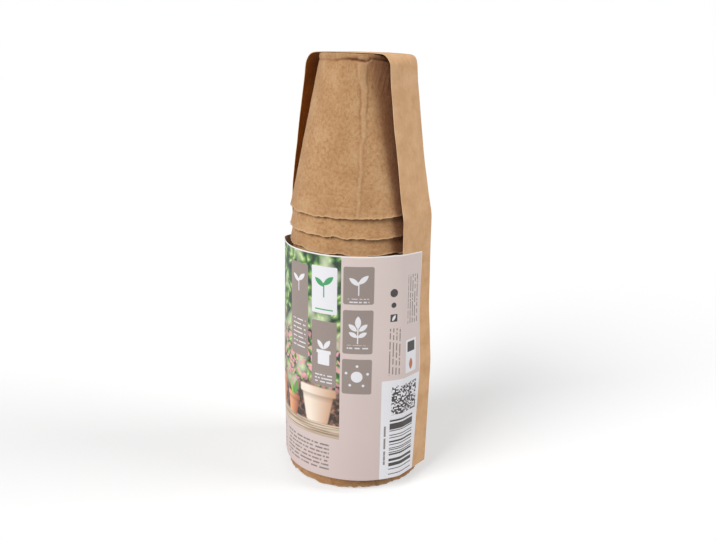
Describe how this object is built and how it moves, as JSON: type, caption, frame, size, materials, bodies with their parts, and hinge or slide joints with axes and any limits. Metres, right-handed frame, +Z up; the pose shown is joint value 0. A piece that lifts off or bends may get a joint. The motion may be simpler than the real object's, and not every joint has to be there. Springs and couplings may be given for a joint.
{
  "type": "peat pot stack",
  "caption": "Nested moulded-fibre plant pots, mouth down, held by a paper strap over the top and a label band round the front, for raising seedlings that are planted out pot and all.",
  "frame": {"origin": "middle of the footprint, on the plane that the lowest pot's mouth stands on; the pots' axis stands 1.85 mm behind it, towards +Y", "axes": "+Z up the stack, +X towards the strap leg that lies snug against the pots, -Y towards the front of the label"},
  "size_m": [0.0896, 0.0837, 0.2429],
  "materials": {
    "wood_fibre": "matt, felted",
    "kraft_paper": "matt",
    "printed_paper": "matt, printed"
  },
  "bodies": {
    "pot_01": {"pot_01": "wood_fibre"},
    "pot_02": {"pot_02": "wood_fibre"},
    "pot_03": {"pot_03": "wood_fibre"},
    "pot_04": {"pot_04": "wood_fibre"},
    "pot_05": {"pot_05": "wood_fibre"},
    "pot_06": {"pot_06": "wood_fibre"},
    "pot_07": {"pot_07": "wood_fibre"},
    "pot_08": {"pot_08": "wood_fibre"},
    "pot_09": {"pot_09": "wood_fibre"},
    "pot_10": {"pot_10": "wood_fibre"},
    "pot_11": {"pot_11": "wood_fibre"},
    "pot_12": {"pot_12": "wood_fibre"},
    "pot_13": {"pot_13": "wood_fibre"},
    "pot_14": {"pot_14": "wood_fibre"},
    "pot_15": {"pot_15": "wood_fibre"},
    "pot_16": {"pot_16": "wood_fibre"},
    "paper_wrap": {"kraft_strap": "kraft_paper", "printed_label": "printed_paper"}
  },
  "joints": [
    {"name": "pot_01_lift", "type": "slide", "parent": "pot_02", "child": "pot_01", "axis": [0, 0, 1], "range_m": [0, 0.078]},
    {"name": "pot_02_lift", "type": "slide", "parent": "pot_03", "child": "pot_02", "axis": [0, 0, 1], "range_m": [0, 0.078]},
    {"name": "pot_03_lift", "type": "slide", "parent": "pot_04", "child": "pot_03", "axis": [0, 0, 1], "range_m": [0, 0.078]},
    {"name": "pot_04_lift", "type": "slide", "parent": "pot_05", "child": "pot_04", "axis": [0, 0, 1], "range_m": [0, 0.078]},
    {"name": "pot_05_lift", "type": "slide", "parent": "pot_06", "child": "pot_05", "axis": [0, 0, 1], "range_m": [0, 0.078]},
    {"name": "pot_06_lift", "type": "slide", "parent": "pot_07", "child": "pot_06", "axis": [0, 0, 1], "range_m": [0, 0.078]},
    {"name": "pot_07_lift", "type": "slide", "parent": "pot_08", "child": "pot_07", "axis": [0, 0, 1], "range_m": [0, 0.078]},
    {"name": "pot_08_lift", "type": "slide", "parent": "pot_09", "child": "pot_08", "axis": [0, 0, 1], "range_m": [0, 0.078]},
    {"name": "pot_09_lift", "type": "slide", "parent": "pot_10", "child": "pot_09", "axis": [0, 0, 1], "range_m": [0, 0.078]},
    {"name": "pot_10_lift", "type": "slide", "parent": "pot_11", "child": "pot_10", "axis": [0, 0, 1], "range_m": [0, 0.078]},
    {"name": "pot_11_lift", "type": "slide", "parent": "pot_12", "child": "pot_11", "axis": [0, 0, 1], "range_m": [0, 0.078]},
    {"name": "pot_12_lift", "type": "slide", "parent": "pot_13", "child": "pot_12", "axis": [0, 0, 1], "range_m": [0, 0.078]},
    {"name": "pot_13_lift", "type": "slide", "parent": "pot_14", "child": "pot_13", "axis": [0, 0, 1], "range_m": [0, 0.078]},
    {"name": "pot_14_lift", "type": "slide", "parent": "pot_15", "child": "pot_14", "axis": [0, 0, 1], "range_m": [0, 0.078]},
    {"name": "pot_15_lift", "type": "slide", "parent": "pot_16", "child": "pot_15", "axis": [0, 0, 1], "range_m": [0, 0.078]},
    {"name": "wrap_pull", "type": "slide", "parent": "pot_01", "child": "paper_wrap", "axis": [0, 0, 1], "range_m": [0, 0.238]}
  ]
}
